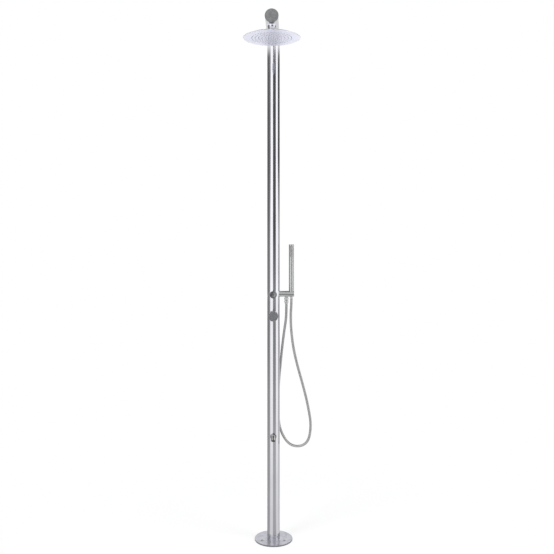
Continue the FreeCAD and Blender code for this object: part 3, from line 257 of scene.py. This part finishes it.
def polishedMetal(name, colour, stretch, roughness, smear, lineDepth, dried, clouds=(5.0, 0.07), rimReflection=None):
    # the polish group's colour, roughness and bump, with the dried drops added to the roughness
    material, graph = newMaterial(name)
    surface = graph.add("ShaderNodeGroup", node_tree=polishGroup)
    for label, value in (("Colour", colour), ("Stretch", stretch), ("Roughness", roughness), ("Smear", smear),
                         ("Line Depth", lineDepth), ("Cloud Scale", clouds[0]), ("Cloud Depth", clouds[1])):
        surface.inputs[label].default_value = value
    shown = surface.outputs["Colour"]
    # a plate's rim gets a painted dark reflection in its colour
    if rimReflection:
        shown = paintedRimReflection(graph, shown, *rimReflection)
    marks = graph.add("ShaderNodeGroup", node_tree=dropsGroup)
    marks.inputs["Amount"].default_value = dried
    shader = graph.add("ShaderNodeBsdfPrincipled", {
        "Base Color": shown, "Metallic": 1.0, "Normal": surface.outputs["Normal"],
        "Roughness": graph.reckon("ADD", surface.outputs["Roughness"], marks.outputs["Mask"])})
    graph.add("ShaderNodeOutputMaterial", {"Surface": shader.outputs[0]})
    return material


def mouldedPlastic(name, colour, scale, roughness, depth):
    # the grain group's roughness and bump under a colour that drifts a little
    material, graph = newMaterial(name)
    surface = graph.add("ShaderNodeGroup", node_tree=grainGroup)
    for label, value in (("Scale", scale), ("Roughness", roughness), ("Depth", depth)):
        surface.inputs[label].default_value = value
    slow = graph.noise(graph.place(), grain["toneScale"], grain["toneDetail"])
    shader = graph.add("ShaderNodeBsdfPrincipled", {
        "Base Color": graph.scaled(colour, graph.remap(slow, grain["toneSpan"], grain["tones"])),
        "Roughness": surface.outputs["Roughness"], "Normal": surface.outputs["Normal"]})
    graph.add("ShaderNodeOutputMaterial", {"Surface": shader.outputs[0]})
    return material


steelColour = (0.70, 0.70, 0.725, 1)
steelNeutral = (0.68, 0.69, 0.675, 1)
alongPost, alongArm = (700, 700, 5), (700, 5, 700)
brushedUp = (900, 900, 30)
turnedAround = (400, 400, 400)

# colour, stretch of the polishing lines, roughness, smears, depth of the lines and dried drops; three also
# have the scale and depth of their clouds, and the floor plate the radius and level of the painted dark
# reflection at its rim
metalFinishes = {
    "steelUpright": [steelColour, alongPost, 0.04, 0.05, 0.25, 0.04],
    "steelForward": [steelColour, alongArm, 0.04, 0.05, 0.25, 0.04],
    "steelHead": [(0.87, 0.88, 0.97, 1), (300, 300, 300), 0.40, 0.06, 0.15, 0.05],
    # the floor plate's last entry paints a dark reflection into the colour at its rim
    "steelBase": [(0.57, 0.57, 0.62, 1), (300, 300, 300), 0.24, 0.12, 0.2, 0.1, (45.0, 0.2),
                  (90 * mm, 0.42)],
    "steelTurned": [steelColour, turnedAround, 0.06, 0.05, 0.15, 0.03],
    "steelFaced": [(0.40, 0.405, 0.42, 1), turnedAround, 0.27, 0.08, 0.3, 0.05, (150.0, 0.2)],
    "steelCap": [(0.28, 0.285, 0.285, 1), turnedAround, 0.27, 0.08, 0.3, 0.05, (90.0, 0.3)],
    "steelBar": [steelNeutral, turnedAround, 0.03, 0.04, 0.1, 0.03],
    "steelStick": [(0.59, 0.595, 0.585, 1), alongPost, 0.33, 0.06, 0.25, 0.04],
    "steelSatin": [(0.58, 0.58, 0.59, 1), brushedUp, 0.32, 0.08, 0.6, 0.0],
    "steelSpray": [(0.66, 0.66, 0.655, 1), brushedUp, 0.36, 0.06, 0.4, 0.02],
    "steelFoot": [(0.50, 0.50, 0.505, 1), turnedAround, 0.05, 0.05, 0.15, 0.03],
    "hoseMetal": [(0.47, 0.47, 0.465, 1), turnedAround, 0.18, 0.1, 0.2, 0.05],
    "brassRaw": [(0.72, 0.54, 0.26, 1), (500, 500, 500), 0.3, 0.12, 0.5, 0.0],
}

# colour, scale of the grain, roughness and depth of the grain
plasticFinishes = {
    "plasticWhite": [(0.82, 0.82, 0.80), 900.0, 0.38, 0.2],
    "plasticBlack": [(0.035, 0.035, 0.04), 900.0, 0.35, 0.3],
    "siliconeGrey": [(0.045, 0.05, 0.15), 700.0, 0.5, 0.25],
    "plasticGrey": [(0.10, 0.10, 0.105), 900.0, 0.35, 0.3],
    "siliconePale": [(0.26, 0.26, 0.265), 700.0, 0.5, 0.25],
    "rubberBlack": [(0.03, 0.03, 0.03), 600.0, 0.6, 0.4],
}

materials = {name: polishedMetal(name, *values) for name, values in metalFinishes.items()}
materials.update({name: mouldedPlastic(name, *values) for name, values in plasticFinishes.items()})
print("materials made:", len(materials))

edges = {
    "joinedWithin": 0.002 * mm,
    "sharpAngle": 32.0,  # degrees between faces that meet in a true edge
    "flatWeight": 100,
}


def finishMesh(name, mesh, material, node, sharpAngle=edges["sharpAngle"], riding=True):
    # join the seam and the poles, turn the faces outwards and keep true edges sharp; the piece then
    # stands for the node, and rides with it unless it bends between two bodies
    work = bmesh.new()
    work.from_mesh(mesh)
    bmesh.ops.remove_doubles(work, verts=work.verts, dist=edges["joinedWithin"])
    bmesh.ops.recalc_face_normals(work, faces=work.faces)
    work.to_mesh(mesh)
    work.free()
    mesh.shade_smooth()
    mesh.set_sharp_from_angle(angle=math.radians(sharpAngle))
    mesh.materials.clear()
    mesh.materials.append(material)
    piece = bpy.data.objects.new(name, mesh)
    bpy.context.scene.collection.objects.link(piece)
    flats = piece.modifiers.new("flatsStayFlat", "WEIGHTED_NORMAL")
    flats.keep_sharp = True
    flats.weight = edges["flatWeight"]
    if riding:
        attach(piece, bodyOf[node])
    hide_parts(node)
    return piece


def gridMesh(name, grid, ringClosed, sideClosed):
    # faces between neighbours of a grid of points, which may close along either direction
    rows, columns = grid.shape[:2]
    across = np.arange(columns if ringClosed else columns - 1)
    down = np.arange(rows if sideClosed else rows - 1)
    first, second = np.meshgrid(down, across, indexing="ij")
    nextRow, nextColumn = (first + 1) % rows, (second + 1) % columns
    quads = np.stack([first * columns + second, first * columns + nextColumn,
                      nextRow * columns + nextColumn, nextRow * columns + second], axis=-1).reshape(-1, 4)
    mesh = bpy.data.meshes.new(name)
    mesh.from_pydata(grid.reshape(-1, 3).tolist(), [], quads.tolist())
    return mesh


mitredTubes = {
    "outerRadius": 30 * mm,
    "innerRadius": 28 * mm,
    "foot": 6 * mm,
    "armHeight": 2400 * mm,
    "armFace": 342 * mm,
    "sides": 160,
}


def tubeMesh(name, ringAt):
    # the tube's wall: four rings, outer and inner, each at the start (share 0) and the end (share 1)
    outer, inner = mitredTubes["outerRadius"], mitredTubes["innerRadius"]
    turn = np.linspace(0, 2 * math.pi, mitredTubes["sides"], endpoint=False)
    rings = [np.stack(ringAt(radius * np.cos(turn), radius * np.sin(turn), share), axis=-1)
             for radius, share in ((outer, 0), (outer, 1), (inner, 1), (inner, 0))]
    return gridMesh(name, np.array(rings), True, True)


def postRing(x, y, share):
    # every ring is a circle, and the top ring's height is the arm's height plus its own y
    return x, y, mitredTubes["foot"] * (1 - share) + (mitredTubes["armHeight"] + y) * share


def armRing(x, up, share):
    # the ring at the mitre has y equal to its own height above the arm's axis
    return x, up * (1 - share) - mitredTubes["armFace"] * share, mitredTubes["armHeight"] + up


finishMesh("post", tubeMesh("post", postRing), materials["steelUpright"], "post_tube")
finishMesh("arm", tubeMesh("arm", armRing), materials["steelForward"], "arm_tube")
print("post and arm made")

hose = {
    "route": [
        (61.5, 0, 1125), (61.5, 0, 1096), (59.5, 6, 1050), (50, 14, 989), (39, 29, 896), (30, 42, 803),
        (22, 47, 711), (21, 48, 619), (26, 41, 515), (79, 24, 435), (161, -1, 450), (182, 0, 537),
        (164, 0, 645), (141, 0, 737), (115, 0, 827), (94, 0, 917), (83, 0, 1013), (82.5, 0, 1085),
        (85.5, 0, 1120), (85.5, 0, 1150),
    ],
    "resolution": 48,
    "diameter": 12 * mm,
    "grooveDepth": 0.35 * mm,
    "groovePitch": 3.0 * mm,
    "stepsPerGroove": 4,
    "sides": 20,
    "sharpAngle": 70,
}


def readRoute():
    # smooth line near the route's points, read back from a spline with no thickness
    curve = bpy.data.curves.new("hoseRoute", "CURVE")
    curve.dimensions = "3D"
    curve.resolution_u = hose["resolution"]
    spline = curve.splines.new("NURBS")
    spline.points.add(len(hose["route"]) - 1)
    for point, place in zip(spline.points, hose["route"]):
        point.co = (place[0] * mm, place[1] * mm, place[2] * mm, 1)
    spline.order_u = 3
    spline.use_endpoint_u = True
    guide = bpy.data.objects.new("hoseRoute", curve)
    bpy.context.scene.collection.objects.link(guide)
    bpy.context.view_layer.update()
    line = bpy.data.meshes.new_from_object(guide)
    points = np.array([vertex.co[:] for vertex in line.vertices])
    bpy.data.objects.remove(guide)
    bpy.data.meshes.remove(line)
    return points


def alongLine(points, step):
    # even steps along the line, from its own length
    run = np.concatenate([[0], np.cumsum(np.linalg.norm(np.diff(points, axis=0), axis=1))])
    places = np.linspace(0, run[-1], int(round(run[-1] / step)) + 1)
    return np.stack([np.interp(places, run, points[:, axis]) for axis in range(3)], axis=-1)


def makeHose(line):
    # circles square to the line, in a frame carried along it without twist; the radius dips once a groove
    # and at both ends, where the hose leaves and arrives upright
    centres = alongLine(line, hose["groovePitch"] / hose["stepsPerGroove"])
    heading = np.gradient(centres, axis=0)
    heading /= np.linalg.norm(heading, axis=1)[:, None]
    heading[0] = (0, 0, -1)
    heading[-1] = (0, 0, 1)
    side = np.empty_like(heading)
    side[0] = (1, 0, 0)
    for index in range(1, len(heading)):
        carried = side[index - 1] - heading[index] * (side[index - 1] @ heading[index])
        side[index] = carried / np.linalg.norm(carried)
    other = np.cross(heading, side)
    turn = np.linspace(0, 2 * math.pi, hose["sides"], endpoint=False)
    dips = np.arange(len(centres)) % hose["stepsPerGroove"] == 0
    dips[-1] = True
    radius = hose["diameter"] / 2 - np.where(dips, hose["grooveDepth"], 0.0)
    circle = side[:, None, :] * np.cos(turn)[None, :, None] + other[:, None, :] * np.sin(turn)[None, :, None]
    grid = centres[:, None, :] + circle * radius[:, None, None]
    ends = [np.repeat(centres[[place]][:, None, :], hose["sides"], axis=1) for place in (0, -1)]
    mesh = gridMesh("hose", np.concatenate([ends[0], grid, ends[1]]), True, False)
    return finishMesh("hose", mesh, materials["hoseMetal"], "shower_hose", hose["sharpAngle"], riding=False)


def declareHose():
    # the hose between the column and the hand shower, built along its line and left unattached; its length on
    # the line is printed
    line = readRoute()
    piece = makeHose(line)
    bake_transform(piece)
    run = float(np.linalg.norm(np.diff(line, axis=0), axis=1).sum())
    print("hose length on its line:", round(run, 4))


declareHose()
print("hose made")

# the nodes whose loose triangles are joined, so that their polished faces shade smoothly
smoothNodes = {
    "steelBase": ["base_plate"],
    "steelHead": ["head_face_plate", "head_chamber"],
    "steelFaced": ["mixer_handle"],
    "steelCap": ["arm_end_cap", "diverter_knob"],
    "steelTurned": ["mixer_sleeve", "diverter_sleeve", "swivel_socket", "swivel_nut", "ball_stem",
                    "head_boss"],
    "steelFoot": ["foot_rosette", "foot_spout"],
    "steelBar": ["shower_bar", "union_collar", "hose_swivel_nut", "hose_cone_nut"],
    "steelStick": ["handset_tube", "handset_end_cap"],
    "siliconeGrey": ["nozzle_mat"],
    "siliconePale": ["handset_nozzle_strip"],
    "plasticBlack": ["foot_aerator"],
    "plasticGrey": ["diverter_cap"],
    "brassRaw": ["hot_inlet_nut", "cold_inlet_nut"],
    "steelSpray": ["handset_spray_plate"],
    "steelSatin": ["hot_pipe", "cold_pipe"],
}

# the nodes inside the post and the knobs, which keep their own meshes
hiddenNodes = {
    "steelSatin": ["riser_pipe", "link_pipe", "foot_pipe", "mixer_grub_screw", "diverter_screw"],
    "brassRaw": ["head_inlet_elbow", "mixer_body", "mixer_clamp_nut", "mixer_spindle", "diverter_body",
                 "diverter_clamp_nut", "diverter_spindle", "foot_nipple"],
    "plasticWhite": ["mixer_cartridge", "diverter_cartridge", "ball_liner"],
    "rubberBlack": ["union_washer", "cone_nut_washer", "stem_washer", "head_gasket"],
}

for materialName, names in smoothNodes.items():
    for name in names:
        mesh = nodes[name].data.copy()
        mesh.name = name + "Fine"
        finishMesh(name + "Fine", mesh, materials[materialName], name)
print("smooth pieces made")

for materialName, names in hiddenNodes.items():
    for name in names:
        nodes[name].data.materials.clear()
        nodes[name].data.materials.append(materials[materialName])
print("inner pieces given their materials")

studio = {
    "worldColour": (0.97, 0.98, 1.0, 1),
    "worldFill": 0.75,
    "floorSize": 60.0,
    "floorColour": (0.95, 0.95, 0.955, 1),
    "glowReach": (0.25, 1.3),  # from the post's foot: weakest up to the first, full past the second
    "weakestGlow": 0.7,
    "cardColour": (1, 1, 1.02, 1),
    "cardSteps": 25,
    "floorLift": (0.002, 0.001),  # of the first card's strips, and of each next one over it
    "ceilingHeight": 10.6,
    "ceilingRadius": 7.2,
    "ceilingMiddle": 0.01,
    "ceilingLevel": 0.14,
}

# cards that only reflections see, round the post's axis: each row of a wall gives its height, its span
# in degrees from the camera's side and its grey level, and floor gives the level at distances from the
# post's foot over the wall's lowest span
cards = {
    "broad": {
        "radius": 14.0,
        "wall": [(0.02, -76, 98, 1.34), (10.6, -76, 98, 1.38)],
        "floor": [(0.092, 0.86), (0.15, 0.87), (0.6, 0.95), (1.4, 1.05), (2.6, 1.14), (5.7, 1.22),
                  (14.0, 1.24)],
    },
    "farLeft": {
        "radius": 13.8,
        "wall": [(0.02, -160, -104, 0.20), (0.5, -160, -104, 0.20), (2.1, -160, -104, 0.10),
                 (5.8, -160, -104, 0.10), (6.1, -160, -104, 1.15)],
        "floor": [(0.092, 0.36), (0.6, 0.38), (1.95, 0.34), (2.9, 0.30), (5.7, 0.20), (13.8, 0.20)],
    },
    "left": {
        "radius": 13.8,
        "wall": [(0.02, -104, -62, 0.34), (1.3, -104, -62, 0.34), (3.1, -104, -54, 0.20),
                 (5.8, -104, -54, 0.20), (6.1, -104, -54, 1.15)],
        "floor": [(0.092, 0.48), (0.6, 0.50), (2.6, 0.43), (5.7, 0.37), (13.8, 0.34)],
    },
    "middle": {
        "radius": 13.7,
        "wall": [(0.02, -9, 44, 0.28), (0.24, -9, 44, 0.28), (1.5, -9, 44, 0.10),
                 (5.8, -9, 44, 0.10), (6.1, -9, 44, 1.15)],
        "floor": [(0.092, 0.46), (0.15, 0.50), (0.43, 0.52), (1.4, 0.50), (2.6, 0.38), (5.7, 0.28),
                  (13.7, 0.28)],
    },
    "right": {
        "radius": 13.8,
        "wall": [(0.02, 96, 152, 0.55), (1.5, 96, 152, 0.55), (3.3, 86, 152, 0.09),
                 (5.8, 86, 152, 0.09), (6.1, 86, 152, 1.15)],
        "floor": [(0.092, 0.70), (0.43, 0.72), (1.4, 0.68), (2.6, 0.55), (5.7, 0.45), (13.8, 0.45)],
    },
    "behind": {
        "radius": 13.9,
        "wall": [(0.02, 150, 200, 0.80), (6.1, 150, 200, 0.80), (6.5, 150, 200, 1.2),
                 (10.5, 150, 200, 1.2)],
        "floor": [(0.1, 0.9), (4.0, 1.08), (13.9, 1.2)],
    },
}

lamps = {
    "keyLamp": {"place": (-3.0, -3.2, 4.2), "size": 2.2, "watts": 120},
    "sideLamp": {"place": (3.4, -1.6, 3.0), "size": 2.0, "watts": 60},
}
lampAim = (0, 0, 1.1)


def makeWorld():
    # a soft fill for the object, and plain white for what the camera, metal and glass see
    world = bpy.data.worlds.new("studioWorld")
    world.use_nodes = True
    world.node_tree.nodes.clear()
    graph = Graph(world.node_tree)
    rays = graph.add("ShaderNodeLightPath").outputs
    seen = graph.reckon("MAXIMUM", graph.reckon("MAXIMUM", rays["Is Camera Ray"], rays["Is Glossy Ray"]),
                        rays["Is Transmission Ray"])
    fill = graph.add("ShaderNodeBackground", {"Color": studio["worldColour"],
                                              "Strength": studio["worldFill"]})
    white = graph.add("ShaderNodeBackground", {"Color": (1, 1, 1, 1), "Strength": 1.0})
    mixed = graph.add("ShaderNodeMixShader", {0: seen, 1: fill.outputs[0], 2: white.outputs[0]})
    graph.add("ShaderNodeOutputWorld", {"Surface": mixed.outputs[0]})
    bpy.context.scene.world = world


def makeFloor():
    # white glow that weakens towards the post's foot, where more of the plain floor with its shadow shows
    half = studio["floorSize"] / 2
    corners = [(-half, -half, 0), (half, -half, 0), (half, half, 0), (-half, half, 0)]
    mesh = bpy.data.meshes.new("floor")
    mesh.from_pydata(corners, [], [(0, 1, 2, 3)])
    material, graph = newMaterial("paleFloor")
    rays = graph.add("ShaderNodeLightPath").outputs
    seen = graph.reckon("MAXIMUM", rays["Is Camera Ray"], rays["Is Glossy Ray"])
    distance = graph.add("ShaderNodeVectorMath", {0: graph.place()}, operation="LENGTH").outputs["Value"]
    away = graph.remap(distance, studio["glowReach"], interpolation_type="SMOOTHSTEP")
    share = graph.reckon("MULTIPLY", seen, graph.remap(away, (0.0, 1.0), (studio["weakestGlow"], 1.0)))
    diffuse = graph.add("ShaderNodeBsdfDiffuse", {"Color": studio["floorColour"]})
    white = graph.add("ShaderNodeEmission", {"Color": (1, 1, 1, 1), "Strength": 1.0})
    mixed = graph.add("ShaderNodeMixShader", {0: share, 1: diffuse.outputs[0], 2: white.outputs[0]})
    graph.add("ShaderNodeOutputMaterial", {"Surface": mixed.outputs[0]})
    mesh.materials.append(material)
    floor = bpy.data.objects.new("floor", mesh)
    bpy.context.scene.collection.objects.link(floor)


def makeCardMaterial():
    # light whose strength is the mesh's own tone, given at each point
    material, graph = newMaterial("panelGlow")
    tone = graph.add("ShaderNodeAttribute", attribute_name="tone")
    glow = graph.add("ShaderNodeEmission", {"Color": studio["cardColour"], "Strength": tone.outputs["Fac"]})
    graph.add("ShaderNodeOutputMaterial", {"Surface": glow.outputs[0]})
    return material


def makeCard(name, rows, material):
    # arcs about the post's axis, one a row: first and last degree, radius, height and tone
    steps = studio["cardSteps"]
    grid, tones = [], []
    for first, last, radius, height, tone in rows:
        spread = np.radians(np.linspace(first, last, steps))
        arc = [radius * np.sin(spread), -radius * np.cos(spread), np.full(steps, height)]
        grid.append(np.stack(arc, axis=-1))
        tones.append(np.full(steps, tone))
    mesh = gridMesh(name, np.array(grid), False, False)
    mesh.attributes.new("tone", "FLOAT", "POINT").data.foreach_set("value", np.concatenate(tones))
    mesh.materials.append(material)
    card = bpy.data.objects.new(name, mesh)
    card.visible_camera = False
    card.visible_diffuse = False
    card.visible_shadow = False
    card.visible_transmission = False
    bpy.context.scene.collection.objects.link(card)


def makeCards():
    # the dark ceiling disc, then each card's wall and its strip on the floor, each strip over the one before
    material = makeCardMaterial()
    height, level = studio["ceilingHeight"], studio["ceilingLevel"]
    makeCard("ceiling", [(0, 360, radius, height, level)
                         for radius in (studio["ceilingRadius"], studio["ceilingMiddle"])], material)
    for index, (name, card) in enumerate(cards.items()):
        makeCard(name + "Card", [(first, last, card["radius"], up, level)
                                 for up, first, last, level in card["wall"]], material)
        first, last = card["wall"][0][1:3]
        lift = studio["floorLift"][0] + studio["floorLift"][1] * index
        makeCard(name + "OnFloor", [(first, last, distance, lift, level)
                                    for distance, level in card["floor"]], material)


def makeLamp(name, place, size, watts):
    # a disc that faces its aim: tipped up from straight down, then swung round to the aim's bearing
    data = bpy.data.lights.new(name, "AREA")
    data.shape = "DISK"
    data.size = size
    data.energy = watts
    lamp = bpy.data.objects.new(name, data)
    bpy.context.scene.collection.objects.link(lamp)
    lamp.location = place
    x, y, z = np.array(lampAim) - np.array(place)
    lamp.rotation_euler = (math.atan2(math.hypot(x, y), -z), 0, math.atan2(y, x) + math.pi / 2 + math.pi)
    lamp.visible_glossy = False


makeWorld()
makeFloor()
makeCards()
for name, lamp in lamps.items():
    makeLamp(name, **lamp)
bpy.context.scene.view_settings.view_transform = "Standard"
print("studio set")
